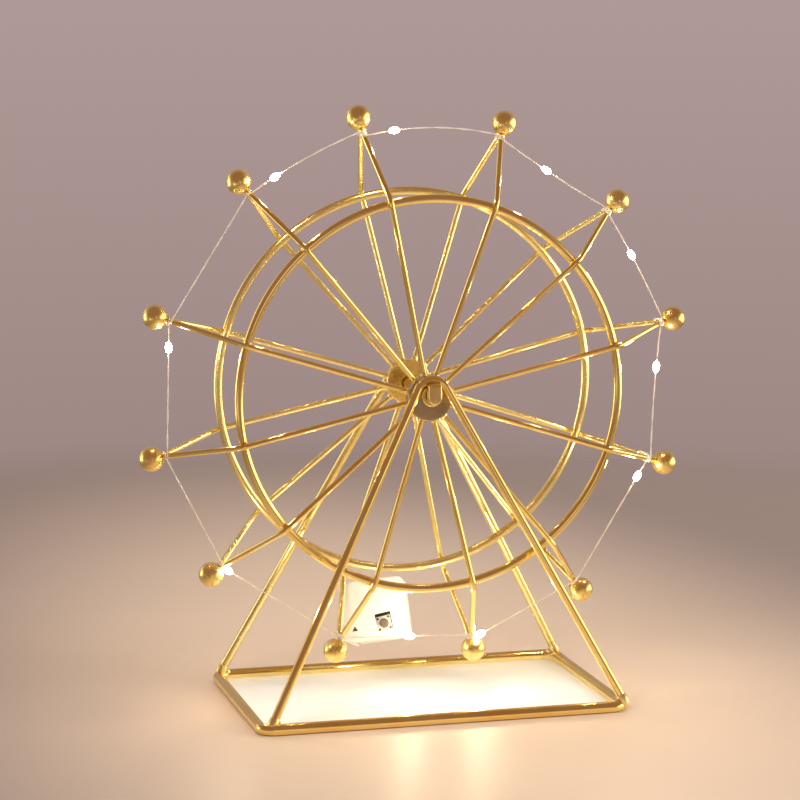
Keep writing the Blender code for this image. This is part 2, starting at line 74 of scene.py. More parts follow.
# Each half of the object: its direction along Y, its label in the nodes' names, its wires' finish.
# The back's wire finish is painted paler, for the light that the string's lights cast on the back wires.
SIDES = ((-1, "front", "gilt_wire"), (1, "back", "gilt_soft"))
# The CAD's gap between pieces that touch.
GAP = 0.3 * MM

# Turns of the light string round each pair of spokes, from ball 1 on, and the first ball it reaches.
TURNS = (3, 2, 3, 3, 3, 1, 3, 1, 1, 1, 1, 1)
FIRST_BALL = 8
# Each light's share of the way from this ball to the next.
LIGHTS = {8: 0.955, 10: 0.807, 12: 0.23, 1: 0.208, 2: 0.412, 3: 0.379, 4: 0.315, 5: 0.145, 6: 0.93,
          7: 0.49}
# How far the wire stands out from a straight line past a ball, and how far further in a ball's turns
# sit, in mm.
BOWS = {12: 1.5, 1: 3.3, 2: -0.8, 3: 0.8, 4: -0.7}
TURNS_IN = {5: 3.2}


def a_number(name, description, default):
    return FloatProperty(name=name, description=description, default=default)


def a_length(name, description, millimetres):
    return FloatProperty(name=name, description=description, default=millimetres * MM, unit="LENGTH")


def a_vector(name, description, *millimetres):
    return FloatVectorProperty(name=name, description=description, size=len(millimetres),
                               default=[value * MM for value in millimetres], unit="LENGTH")


def an_angle(name, description, degrees):
    return FloatProperty(name=name, description=description, default=math.radians(degrees),
                         subtype="ANGLE")


def a_colour(name, description, *colour):
    return FloatVectorProperty(name=name, description=description, default=colour, subtype="COLOR")


class WheelStudio(bpy.types.PropertyGroup):
    """Camera, floor and surroundings."""
    azimuth: an_angle("Azimuth", "Camera's angle round the wheel", -15.49)
    elevation: an_angle("Elevation", "Camera's angle above the horizon", 8.85)
    roll: an_angle("Roll", "Camera's turn about its own line of sight", 0.27)
    distance: a_length("Distance", "Camera to the point it looks at", 1138.1)
    focal_length: a_number("Focal length", "Lens for a 36 mm wide sensor, in mm", 127.01)
    target: a_vector("Target", "Point in the middle of the picture", -7.53, 0, 123.11)
    floor_full: a_length("Floor", "Radius where the floor starts to fade away", 470)
    floor_end: a_length("Floor end", "Radius where the floor has faded away", 660)
    # Painted light: the floor is painted pale in a pool of light round the wheel, and darker out of it.
    floor_lit: a_colour("Floor colour", "Pale floor round the wheel", 0.74, 0.56, 0.42)
    floor_shaded: a_colour("Far floor", "The floor's colour at its end", 0.28, 0.215, 0.19)
    background: a_colour("Background", "Colour far behind, at eye level", 0.44, 0.325, 0.315)
    background_low: a_colour("Low background", "Colour behind the floor's end", 0.335, 0.245, 0.23)
    dark_panel: a_colour("Dark panel", "What metal mirrors from the front", 0.30, 0.165, 0.12)
    pale_panels: a_colour("Pale panels", "What metal mirrors from the sides", 3.5, 3.3, 2.4)
    small_panel: a_colour("Small panel", "Glint that metal mirrors from the front", 1.3, 1.0, 0.9)
    world_strength: a_number("World strength", "Even light from all round", 0.30)


class WheelWires(bpy.types.PropertyGroup):
    """Sizes of the rods, wires, balls and solder."""
    rod_corner: a_length("Base corner", "Bend radius of the base rod's corners", 5)
    plate_thickness: a_length("Plate", "Thickness of the base plate", 0.9)
    plate_reach: a_length("Plate's edge", "Plate's edge to the rod's centreline", 1.2)
    left_feet: a_vector("Left feet", "Front and back left feet, in from the corner", 4.0, 1.8)
    wire_radius: a_length("Frame wire", "Radius of the bent frames' wire", 1.75)
    collar_reach: a_length("Loop radius", "Centreline of the loop round a collar", 6.45)
    loop_y: a_length("Loop place", "The loop's distance from the wheel's plane", 21.6)
    foot_gap: a_length("Foot height", "Leg's end above the base rod's top", 2.3)
    foot_reach: a_length("Foot reach", "How far a leg runs on into the base rod", 4.6)
    foot_solder: a_length("Foot solder", "Middle of a foot's solder, past the leg's end", 2.4)
    foot_drip: a_vector("Foot drip", "From the foot's solder to its drip, inwards and down", 2.2, 0.9)
    tab_rise: a_length("Tab rise", "Tabs' tops above the CAD's, up to the loop", 0.8)
    tab_edge: a_length("Tab edge", "Edge radius of the tabs over the axle's ends", 0.6)
    spoke_radius: a_length("Spoke wire", "Radius of the spoke wire", 1.15)
    spoke_hub: a_length("Spoke at the drum", "Spoke's end along the axis", 16)
    spoke_bend: a_vector("Spoke's bend", "Distance from the axis, place along it", 80, 23.2)
    spoke_neck: a_vector("Spoke at the ball", "Distance from the axis, place along it", 106.9, 1.03)
    bend_radius: a_length("Spoke bend radius", "Bend radius past the ring", 6)
    wire_sides: IntProperty(name="Wire sides", description="Flats round each wire", default=28)
    ball_segments: IntProperty(name="Ball segments", description="Segments round each ball", default=56)
    solder_radius: a_length("Solder", "Radius of a solder bead", 1.4)
    solder_uneven: a_number("Uneven solder", "How much the beads' sizes vary", 0.16)


class WheelLights(bpy.types.PropertyGroup):
    """Sizes of the light string."""
    strand_radius: a_length("Strand", "Radius of one of the two strands", 0.15)
    strands_apart: a_length("Strands apart", "Distance between the two strands", 0.34)
    twist: a_length("Twist", "Length of one turn of the two strands", 18)
    turn_clear: a_length("Turn clearance", "Strands' middle above the spokes", 0.30)
    turn_pitch: a_length("Turn pitch", "Step between two turns round a neck", 0.66)
    turn_start: a_length("First turn", "First turn's distance from the axis", 106.8)
    bead_radius: a_length("Light", "Radius of a moulded light bead", 1.3)
    bead_length: a_length("Light length", "Length of a moulded light bead", 4.4)
    glow: a_number("Glow", "Strength of a light's glow", 380.0)
    glow_colour: a_colour("Glow colour", "Warm white", 1.0, 0.80, 0.50)


class WheelBox(bpy.types.PropertyGroup):
    """Sizes and place of the battery box. Its face is on its negative Y side."""
    size: a_vector("Size", "Width, depth and height", 27, 10.6, 25)
    place: a_vector("Place", "The box's middle, from the hub", -12.9, 17, -95.1)
    turn: FloatVectorProperty(name="Turn", description="Turns about X, Y and Z",
                              default=[math.radians(turn) for turn in (-20, -10, -24)],
                              subtype="EULER")
    corner: a_length("Corner", "Radius of the upright corners", 3)
    edge: a_length("Edge", "Radius of the edges round the face", 0.6)
    wall: a_length("Wall", "Wall thickness", 1.2)
    lead: a_vector("Lead", "The lead's hole in the underside, across and behind the face", -8.5, 6)
    mark: a_vector("Mark", "Middle of the small triangle on the face, across and up", -8.6, -7.4)
    switch: a_vector("Switch", "The switch's middle on the face, across and up", 3.5, -6.2)
    switch_turn: an_angle("Switch turn", "The switch's turn in the face", -6.5)
    switch_side: a_length("Switch side", "Side of the square switch", 6)
    switch_depth: a_length("Switch depth", "Depth of the square switch", 3.5)
    switch_sunk: a_length("Switch recess", "Switch plate behind the face", 0.8)
    window_room: a_length("Window", "How much wider the window is than the switch", 0.2)
    window_beside: a_length("Window beside", "Room in the window beside the switch", 0.5)
    window_above: a_length("Window above", "Room in the window above the switch", 1.3)
    button_radius: a_length("Button", "Radius of the switch's round button", 1.75)
    cover_inset: a_length("Cover inset", "The back cover's edge to the box's edge", 1.5)


class WheelFinish(bpy.types.PropertyGroup):
    """Colours of the finishes."""
    gilt: a_colour("Gilt", "Gold plating", 0.95, 0.80, 0.33)
    gilt_dark: a_colour("Worn gilt", "Gold plating where it is thinner", 0.90, 0.66, 0.21)
    # Painted light: plating of the back wires, painted paler where the string's lights shine on them.
    gilt_lit: a_colour("Pale gilt", "Plating behind the lights", 0.98, 0.86, 0.42)
    # Painted shade: the front drum's plating, painted darker than the back drum's for the dark that it
    # mirrors.
    cast: a_colour("Cast gilt", "Plating on the grainy hub drum", 0.58, 0.45, 0.26)
    solder: a_colour("Solder", "Plated solder", 0.90, 0.74, 0.42)
    plate: a_colour("Plate", "Base plate", 0.92, 0.905, 0.865)
    plastic: a_colour("Box plastic", "Battery box", 0.87, 0.86, 0.815)
    copper: a_colour("Light wire", "Lacquered wire of the light string", 0.97, 0.91, 0.83)


def add_node(tree, kind, inputs=None, output=0, **options):
    """Adds a node and returns one of its outputs, if it has any.

    Its options are set, and its inputs are linked or given a value, by name or number.
    """
    node = tree.nodes.new(kind)
    for option, value in options.items():
        setattr(node, option, value)
    for label, value in (inputs or {}).items():
        if isinstance(value, bpy.types.NodeSocket):
            tree.links.new(value, node.inputs[label])
        else:
            node.inputs[label].default_value = value
    return node.outputs[output] if len(node.outputs) else None


def number_math(tree, operation, *values):
    return add_node(tree, "ShaderNodeMath", dict(enumerate(values)), operation=operation)


def vector_math(tree, operation, *values):
    output = "Value" if operation in ("LENGTH", "DOT_PRODUCT") else "Vector"
    return add_node(tree, "ShaderNodeVectorMath", dict(enumerate(values)), output, operation=operation)


def new_tree(name, sizes):
    """An empty geometry node tree with named inputs, and what its input node gives."""
    tree = bpy.data.node_groups.new(name, "GeometryNodeTree")
    tree.interface.new_socket("Geometry", in_out="INPUT", socket_type="NodeSocketGeometry")
    for label, value in sizes.items():
        kind = "NodeSocketInt" if isinstance(value, int) else "NodeSocketFloat"
        tree.interface.new_socket(label, in_out="INPUT", socket_type=kind).default_value = value
    tree.interface.new_socket("Material", in_out="INPUT", socket_type="NodeSocketMaterial")
    tree.interface.new_socket("Geometry", in_out="OUTPUT", socket_type="NodeSocketGeometry")
    return tree, tree.nodes.new("NodeGroupInput").outputs


def close_tree(tree, given, geometry):
    """Smooth shading, real geometry and the material end every tree."""
    smooth = add_node(tree, "GeometryNodeSetShadeSmooth", {0: geometry})
    real = add_node(tree, "GeometryNodeRealizeInstances", {0: smooth})
    painted = add_node(tree, "GeometryNodeSetMaterial", {"Geometry": real, "Material": given["Material"]})
    add_node(tree, "NodeGroupOutput", {0: painted})
    return tree


def circle(tree, given, radius):
    return add_node(tree, "GeometryNodeCurvePrimitiveCircle",
                    {"Resolution": given["Sides"], "Radius": given[radius]})


def swept(tree, given, path, profile):
    tube = add_node(tree, "GeometryNodeCurveToMesh",
                    {"Curve": path, "Profile Curve": profile, "Fill Caps": True})
    return close_tree(tree, given, tube)


def wire_tree():
    """Round wire along every edge path of a mesh, with its corners bent to a radius."""
    tree, given = new_tree(
        "Wire", {"Wire Radius": 1 * MM, "Bend Radius": 0.0, "Bend Steps": 8, "Sides": 24})
    path = add_node(tree, "GeometryNodeMeshToCurve", {0: given["Geometry"]})
    bent = add_node(tree, "GeometryNodeFilletCurve", {
        "Curve": path, "Radius": given["Bend Radius"], "Count": given["Bend Steps"],
        "Limit Radius": True}, mode="POLY")
    return swept(tree, given, bent, circle(tree, given, "Wire Radius"))


def bead_tree():
    """Beads on the points of a mesh, each along its own line and a little uneven in size."""
    tree, given = new_tree("Beads", {
        "Radius": 1 * MM, "Length": 1.0, "Segments": 24, "Rings": 12, "Uneven": 0.0, "Seed": 7})
    ball = add_node(tree, "GeometryNodeMeshUVSphere",
                    {label: given[label] for label in ("Segments", "Rings", "Radius")})
    along = add_node(tree, "GeometryNodeInputNamedAttribute", {"Name": "along"}, data_type="FLOAT_VECTOR")
    turn = add_node(tree, "FunctionNodeAlignRotationToVector", {"Vector": along}, axis="Z")
    # Numbers 2 and 3 are the least and the most, and output 1 is the number drawn.
    share = add_node(tree, "FunctionNodeRandomValue", {
        "Seed": given["Seed"], 2: number_math(tree, "SUBTRACT", 1.0, given["Uneven"]),
        3: number_math(tree, "ADD", 1.0, given["Uneven"])}, 1, data_type="FLOAT")
    long = number_math(tree, "MULTIPLY", share, given["Length"])
    size = add_node(tree, "ShaderNodeCombineXYZ", {"X": share, "Y": share, "Z": long})
    beads = add_node(tree, "GeometryNodeInstanceOnPoints", {
        "Points": given["Geometry"], "Instance": ball, "Rotation": turn, "Scale": size})
    return close_tree(tree, given, beads)


def strand_tree():
    """Two strands loosely twisted together along every edge path of a mesh."""
    tree, given = new_tree("Twisted strands", {
        "Strand Radius": 0.1 * MM, "Apart": 0.3 * MM, "Twist": 18 * MM, "Step": 0.4 * MM, "Sides": 8})
    path = add_node(tree, "GeometryNodeMeshToCurve", {0: given["Geometry"]})
    fine = add_node(tree, "GeometryNodeResampleCurve", {"Curve": path, "Length": given["Step"]},
                    mode="LENGTH")
    travel = add_node(tree, "GeometryNodeSplineParameter", output="Length")
    turns = number_math(tree, "DIVIDE", travel, given["Twist"])
    twisted = add_node(tree, "GeometryNodeSetCurveTilt",
                       {"Curve": fine, "Tilt": number_math(tree, "MULTIPLY", turns, math.tau)})
    ring = circle(tree, given, "Strand Radius")
    pair = tree.nodes.new("GeometryNodeJoinGeometry")
    for half in (0.5, -0.5):
        reach = number_math(tree, "MULTIPLY", given["Apart"], half)
        place = add_node(tree, "ShaderNodeCombineXYZ", {"X": reach})
        strand = add_node(tree, "GeometryNodeTransform", {"Geometry": ring, "Translation": place})
        tree.links.new(strand, pair.inputs[0])
    return swept(tree, given, twisted, pair.outputs[0])


def path_mesh(name, paths, closed):
    """A mesh of plain edges along each list of points."""
    points = []
    edges = []
    for path in paths:
        first = len(points)
        points += path
        edges += [(first + step, first + step + 1) for step in range(len(path) - 1)]
        if closed:
            edges.append((len(points) - 1, first))
    mesh = bpy.data.meshes.new(name)
    mesh.from_pydata(points, edges, [])
    return mesh


def new_object(name, data):
    item = bpy.data.objects.new(name, data)
    bpy.context.scene.collection.objects.link(item)
    return item


def mesh_object(name, mesh, finish):
    mesh.materials.append(bpy.data.materials[finish])
    return new_object(name, mesh)


def plain(item):
    """Leaves an object as the plain mesh that its modifiers make."""
    evaluated = item.evaluated_get(bpy.context.evaluated_depsgraph_get())
    mesh = bpy.data.meshes.new_from_object(evaluated)
    item.modifiers.clear()
    item.data = mesh
    return item


def grown(name, source, tree, finish, **values):
    """Runs a tree on a mesh, its inputs set from values of the same names, at the origin."""
    item = new_object(name, source)
    modifier = item.modifiers.new(tree.name, "NODES")
    modifier.node_group = tree
    wanted = {label.replace("_", " ").title(): value for label, value in values.items()}
    wanted["Material"] = bpy.data.materials[finish]
    for socket in tree.interface.items_tree:
        if socket.in_out == "INPUT" and socket.name in wanted:
            modifier[socket.identifier] = wanted[socket.name]
    return plain(item)


def beads(name, places, finish, **values):
    """Beads at places, each (place, direction)."""
    mesh = bpy.data.meshes.new(name)
    mesh.from_pydata([place for place, _ in places], [], [])
    along = mesh.attributes.new("along", "FLOAT_VECTOR", "POINT")
    for index, (_, direction) in enumerate(places):
        along.data[index].vector = direction
    return grown(name, mesh, bead_tree(), finish, **values)


def keep(item, body, nodes=()):
    """The finished piece moves with a body and stands for CAD nodes."""
    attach(item, body)
    if nodes:
        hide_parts(*nodes)


def keep_wires(name, paths, finish, body, nodes, closed=False, **values):
    item = grown(name, path_mesh(name, paths, closed), wire_tree(), finish, **values)
    keep(item, body, nodes)


def keep_solder(name, places, body, **values):
    keep(beads(name, places, "gilt_solder", **values), body)


def built_mesh(name, bm):
    mesh = bpy.data.meshes.new(name)
    bm.to_mesh(mesh)
    bm.free()
    return mesh


def shaded(mesh, sharp=30):
    """Shades a mesh smooth, and sharp where it turns by more degrees than sharp."""
    mesh.shade_smooth()
    mesh.set_sharp_from_angle(angle=math.radians(sharp))
    return mesh


def bevel(bm, edges, width, steps):
    bmesh.ops.bevel(bm, geom=edges, offset=width, segments=steps, profile=0.5, affect="EDGES")


def turned_mesh(name, profile, place=(0, 0, 0), sides=96):
    """A body of revolution about the Y axis through place: profile points are (radius, along Y)."""
    bm = bmesh.new()
    line = [bm.verts.new((radius, along, 0)) for radius, along in profile]
    edges = [bm.edges.new(pair) for pair in zip(line, line[1:])]
    bmesh.ops.spin(bm, geom=line + edges, cent=(0, 0, 0), axis=(0, 1, 0), dvec=(0, 0, 0),
                   angle=math.tau, steps=sides, use_merge=True)
    bmesh.ops.remove_doubles(bm, verts=bm.verts, dist=0.001 * MM)
    bmesh.ops.recalc_face_normals(bm, faces=bm.faces)
    bmesh.ops.translate(bm, verts=bm.verts, vec=place)
    return shaded(built_mesh(name, bm), 32)


def rod_profile(radius, low, high):
    return [(0, high), (radius, high), (radius, low), (0, low)]


def arc(radius, first, last, steps):
    """Points of an arc round the origin, from one angle to another."""
    angles = [first + (last - first) * step / steps for step in range(steps + 1)]
    return [(radius * math.cos(angle), radius * math.sin(angle)) for angle in angles]


def rounded_rim(radius, along, width, toward):
    """Profile points of a rounded edge, from the side of radius towards the end face."""
    return [(radius - width + across, along - toward * (width - up))
            for across, up in arc(width, 0, math.pi / 2, 5)]


def new_material(name):
    material = bpy.data.materials.new(name)
    material.use_nodes = True
    tree = material.node_tree
    return tree, tree.nodes["Principled BSDF"].inputs


def noise(tree, scale, detail, stretch=None):
    """Noise on Object coordinates; stretch scales the pattern on each axis."""
    place = add_node(tree, "ShaderNodeTexCoord", output="Object")
    if stretch:
        place = add_node(tree, "ShaderNodeMapping", {"Vector": place, "Scale": stretch})
    return add_node(tree, "ShaderNodeTexNoise",
                    {"Vector": place, "Scale": scale, "Detail": detail}, "Fac")


def ramp(tree, value, start, end, first=0.0, last=1.0, curve="SMOOTHSTEP"):
    """A number from first to last, as the value goes from start to end."""
    return add_node(tree, "ShaderNodeMapRange", {
        "Value": value, "From Min": start, "From Max": end, "To Min": first, "To Max": last},
        interpolation_type=curve)


def spread(tree, value, low, high):
    """A noise's middle range spread between two numbers."""
    return ramp(tree, value, 0.3, 0.7, low, high, "LINEAR")


def two_tone(tree, value, first, second):
    """A colour between two, by a value. The first may be a socket."""
    if not isinstance(first, bpy.types.NodeSocket):
        first = (*first, 1)
    return add_node(tree, "ShaderNodeMix", {"Factor": value, 6: first, 7: (*second, 1)}, 2,
                    data_type="RGBA")


def darker(colour, *shares):
    """A colour with one share for all its channels or one for each."""
    return [channel * shares[index % len(shares)] for index, channel in enumerate(colour)]


def make_finish(name, colours, patches, rough, haze, relief=None, **constants):
    """Makes a material: two colours and a range of roughness in noise, and maybe a relief.

    patches and haze are each a noise's scale, detail and stretch. relief is such a noise, its
    strength and its depth. Constants go on the shader's sockets of the same names.
    """
    tree, shader = new_material(name)
    pattern = spread(tree, noise(tree, *patches), 0.0, 1.0)
    tree.links.new(two_tone(tree, pattern, *colours), shader["Base Color"])
    tree.links.new(spread(tree, noise(tree, *haze), *rough), shader["Roughness"])
    if relief:
        grain, strength, depth = relief
        bump = add_node(tree, "ShaderNodeBump", {
            "Height": noise(tree, *grain), "Strength": strength, "Distance": depth})
        tree.links.new(bump, shader["Normal"])
    for label, value in constants.items():
        shader[label.replace("_", " ").title()].default_value = value


class WHEEL_OT_finishes(bpy.types.Operator):
    """Make the finishes and put them on the CAD nodes that stay in view"""
    bl_idname = "wheel.finishes"
    bl_label = "Finishes"

    def execute(self, context):
        look = context.scene.wheel_finish
        lights = context.scene.wheel_lights
        # Plating: thinner in soft patches, with polishing haze and tiny ripples.
        for name, bright, worn, roughness, ripples in (
                ("gilt_wire", look.gilt, look.gilt_dark, 0.13, 0.004),
                # Painted light: a rougher copy of the wire finish for the back wires, painted paler for
                # the lights' glow on them.
                ("gilt_soft", look.gilt_lit, look.gilt, 0.24, 0.004),
                ("gilt_satin", look.gilt, look.gilt_dark, 0.27, 0.0),
                # Painted shade: the front drum's copy, darker for the dark it mirrors, over a real grainy
                # relief.
                ("gilt_cast", look.cast, darker(look.cast, 0.6), 0.30, 0.35),
                ("gilt_polished", look.gilt, look.gilt_dark, 0.13, 0.02),
                ("gilt_solder", look.solder, look.gilt, 0.34, 0.2)):
            make_finish(name, (bright, worn), (55, 4), (roughness * 0.85, roughness * 1.2), (240, 3),
                        ((420, 2), ripples, 0.15 * MM), metallic=1.0)
        # Glossy sheet with faint clouding.
        make_finish("plate_gloss", (look.plate, darker(look.plate, 0.96)), (18, 3), (0.14, 0.20),
                    (60, 2))
        # Moulded plastic: fine tool grain, faint flow marks and a satin sheen.
        for name, colour, grain, rough in (
                ("box_plastic", look.plastic, 0.12, (0.30, 0.45)),
                ("switch_dark", (0.13, 0.105, 0.085), 0.15, (0.35, 0.5)),
                ("mark_dark", (0.05, 0.045, 0.04), 0.1, (0.5, 0.6))):
            make_finish(name, (colour, darker(colour, 0.94)), (90, 3, (1.0, 1.0, 0.3)), rough,
                        (500, 2), ((2600, 2), grain, 0.05 * MM))
        # Enamelled copper, its colour shifting along the wire, under clear lacquer.
        make_finish("lacquered_wire", (look.copper, darker(look.copper, 0.92, 0.84, 0.74)), (130, 2),
                    (0.30, 0.45), (800, 2), metallic=0.3, coat_weight=0.5, coat_roughness=0.1)
        # Stamped metal with a brushed grain.
        grain = (900, 3, (1.0, 1.0, 12.0))
        for name, colour, roughness, metallic in (
                ("switch_plate", (0.84, 0.82, 0.76), 0.28, 0.2),
                ("cell_steel", (0.70, 0.70, 0.69), 0.25, 1.0)):
            make_finish(name, (colour, darker(colour, 0.85)), grain,
                        (roughness * 0.8, roughness * 1.3), grain, (grain, 0.08, 0.03 * MM),
                        metallic=metallic)
        # Clear resin over a lit chip, and olive solder mask with a faint weave.
        make_finish("light_resin", ((1.0, 0.93, 0.78), (1.0, 0.86, 0.66)), (700, 2), (0.08, 0.2),
                    (700, 2), emission_color=(*lights.glow_colour, 1), emission_strength=lights.glow)
        make_finish("board_lacquer", ((0.19, 0.17, 0.10), (0.25, 0.22, 0.13)), (1500, 2),
                    (0.25, 0.4), (1500, 2))
        for node, finish in (("circuit_board", "board_lacquer"), ("coin_cell", "cell_steel")):
            item = frame["nodes"][node]
            item.data.materials.clear()
            item.data.materials.append(bpy.data.materials[finish])
        return {"FINISHED"}


def block(name, size, centre, corner, edge=0.0, finish="box_plastic", axis=1, rim_steps=4):
    """A block with its edges along an axis rounded, then its rims."""
    bm = bmesh.new()
    bmesh.ops.create_cube(bm, size=1.0)
    bmesh.ops.scale(bm, vec=size, verts=bm.verts)
    bmesh.ops.translate(bm, vec=centre, verts=bm.verts)
    along = [item for item in bm.edges
             if abs((item.verts[0].co - item.verts[1].co)[axis]) > size[axis] / 2]
    bevel(bm, along, corner, 8)
    if edge:
        bevel(bm, [item for item in bm.edges if item.calc_face_angle(0) > 1], edge, rim_steps)
    bmesh.ops.recalc_face_normals(bm, faces=bm.faces)
    return mesh_object(name, built_mesh(name, bm), finish)


def base_outline():
    """Corners of the base rod's centreline, and the rod's radius."""
    reach = half_size("base_frame")
    rod = reach.z
    corner = Vector((reach.x - rod, reach.y - rod, rod))
    return [corner * Vector(sides) for sides in ((-1, -1, 1), (1, -1, 1), (1, 1, 1), (-1, 1, 1))], rod


class WHEEL_OT_base(bpy.types.Operator):
    """Make the base's bent rod and its pale plate"""
    bl_idname = "wheel.base"
    bl_label = "Base"

    def execute(self, context):
        wires = context.scene.wheel_wires
        corners, rod = base_outline()
        keep_wires("base_rod", [corners], "gilt_wire", "stand", ["base_frame"], closed=True,
                   wire_radius=rod, bend_radius=wires.rod_corner, bend_steps=14, sides=40)

        low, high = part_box("base_plate")
        under = Vector((1, 1, 0)) * (rod + GAP - wires.plate_reach)
        low, high = low - under, high + under
        high.z = low.z + wires.plate_thickness
        plate = block("base_sheet", high - low, (low + high) / 2,
                      wires.rod_corner - wires.plate_reach, 0.25 * MM, "plate_gloss", 2, 3)
        shaded(plate.data)
        keep(plate, "stand", ["base_plate"])
        return {"FINISHED"}


def frame_path(wires, side):
    """Centreline of one bent A-frame: foot, loop over the collar, foot."""
    corners, rod = base_outline()
    inset = wires.rod_corner * (1 - math.sqrt(0.5))
    foot_x = corners[1].x - inset
    foot_y = corners[2].y - inset
    drop = HUB.z - 2 * rod - wires.foot_gap
    loop = wires.collar_reach
    left_x = foot_x - wires.left_feet[side > 0]
    tangent, left = [math.atan2(drop, x) - math.acos(loop / math.hypot(x, drop))
                     for x in (foot_x, left_x)]
    flat = [(foot_x, -drop), *arc(loop, -tangent, math.pi + left, 40), (-left_x, -drop)]
    lean = (foot_y - wires.loop_y) / drop
    return [Vector((x, side * (wires.loop_y - z * lean), HUB.z + z)) for x, z in flat]


class WHEEL_OT_frames(bpy.types.Operator):
    """Make the two bent A-frames with the solder at their feet"""
    bl_idname = "wheel.frames"
    bl_label = "A-frames"

    def execute(self, context):
        wires = context.scene.wheel_wires
        feet = []
        drips = []
        for side, label, finish in SIDES:
            node = f"{label}_a_frame"
            path = frame_path(wires, side)
            for foot, before in ((path[0], path[1]), (path[-1], path[-2])):
                down = (foot - before).normalized()
                spot = foot + down * wires.foot_solder
                feet.append((spot, down))
                drip = Vector((-math.copysign(wires.foot_drip[0], foot.x), 0, -wires.foot_drip[1]))
                drips.append((spot + drip, drip))
                foot += down * wires.foot_reach
            keep_wires(f"{node}_wire", [path], finish, "stand", [node],
                       wire_radius=wires.wire_radius, sides=wires.wire_sides)
        for name, places, radius, length in (
                ("foot_solder", feet, 2.05 * MM, 1.8), ("foot_drips", drips, 1.3 * MM, 1.2)):
            keep_solder(name, places, "stand", radius=radius, length=length, segments=32,
                        rings=20, uneven=wires.solder_uneven / 2, seed=3)
        return {"FINISHED"}


def ring_profile(bore, radius, low, high, rim):
    """Profile of a short tube with rounded outer rims and a small chamfer in its bore."""
    chamfer = 0.25 * MM
    profile = [(bore, high - chamfer), (bore + chamfer, high)]
    profile += rounded_rim(radius, high, rim, 1)[::-1] + rounded_rim(radius, low, rim, -1)
    return profile + [(bore + chamfer, low), (bore, low + chamfer), (bore, high - chamfer)]


def tab_mesh(name, rise, edge):
    """Mesh of a tab over the axle's end: its lower end is round and its top follows the loop."""
    low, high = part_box(name)
    half = (high.x - low.x) / 2
    reach = high.z - HUB.z + rise
    near, far = sorted((low.y, high.y), key=abs)
    corner = math.acos(half / reach)
    outline = [(x, low.z + half + z) for x, z in arc(half, math.pi, math.tau, 24)]
    outline += [(x, HUB.z + z) for x, z in arc(reach, corner, math.pi - corner, 24)]
    bm = bmesh.new()
    face = bm.faces.new([bm.verts.new((x, near, z)) for x, z in outline])
    made = bmesh.ops.extrude_face_region(bm, geom=[face])["geom"]
    moved = [item for item in made if isinstance(item, bmesh.types.BMVert)]
    bmesh.ops.translate(bm, verts=moved, vec=(0, far - near, 0))
    bevel(bm, [item for item in bm.edges if all(vert in moved for vert in item.verts)], edge, 6)
    bmesh.ops.recalc_face_normals(bm, faces=bm.faces)
    return shaded(built_mesh(name, bm), 35)


class WHEEL_OT_hub(bpy.types.Operator):
    """Make the hub drums, bored off their middle, the axle, its collars and the tabs over its ends"""
    bl_idname = "wheel.hub"
    bl_label = "Hub"

    def execute(self, context):
        wires = context.scene.wheel_wires
        axle = half_size("axle")
        bore = axle.x + GAP / 2
        for node, body, rim, finish in (
                # The front drum's finish holds painted shade; the back drum's does not.
                ("front_hub_drum", "wheel", 0.7 * MM, "gilt_cast"),
                ("back_hub_drum", "wheel", 0.7 * MM, "gilt_satin"),
                ("front_collar", "stand", 0.4 * MM, "gilt_polished"),
                ("back_collar", "stand", 0.4 * MM, "gilt_polished")):
            low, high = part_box(node)
            place = Vector((middle(node).x, 0, middle(node).z))
            mesh = turned_mesh(node, ring_profile(bore, half_size(node).x, low.y, high.y, rim), place)
            for vert in mesh.vertices:
                if math.hypot(vert.co.x - place.x, vert.co.z - place.z) < axle.x + MM:
                    vert.co.z += HUB.z - place.z
            keep(mesh_object(f"{node}_turned", mesh, finish), body, [node])
        profile = [(0, axle.y)] + rounded_rim(axle.x, axle.y, 0.5 * MM, 1)[::-1]
        profile += rounded_rim(axle.x, -axle.y, 0.5 * MM, -1) + [(0, -axle.y)]
        item = mesh_object("axle_turned", turned_mesh("axle", profile, HUB), "gilt_polished")
        keep(item, "wheel", ["axle"])
        for node in ("front_axle_tab", "back_axle_tab"):
            tab = tab_mesh(node, wires.tab_rise, wires.tab_edge)
            keep(mesh_object(f"{node}_rounded", tab, "gilt_polished"), "stand", [node])
        return {"FINISHED"}


class WHEEL_OT_rings(bpy.types.Operator):
    """Bend the two rings"""
    bl_idname = "wheel.rings"
    bl_label = "Rings"

    def execute(self, context):
        wires = context.scene.wheel_wires
        for _, label, finish in SIDES:
            node = f"{label}_ring"
            radius = half_size(node).y
            reach = half_size(node).x - radius
            path = [middle(node) + Vector((x, 0, z)) for x, z in arc(reach, 0, math.tau, 240)[:-1]]
            keep_wires(f"{node}_wire", [path], finish, "wheel", [node], closed=True,
                       wire_radius=radius, sides=wires.wire_sides)
        return {"FINISHED"}


def on_wheel(angle, radius, along):
    """A point of the wheel: distance from the axis at an angle, and place along the axis."""
    return HUB + Vector((radius * math.cos(angle), along, radius * math.sin(angle)))


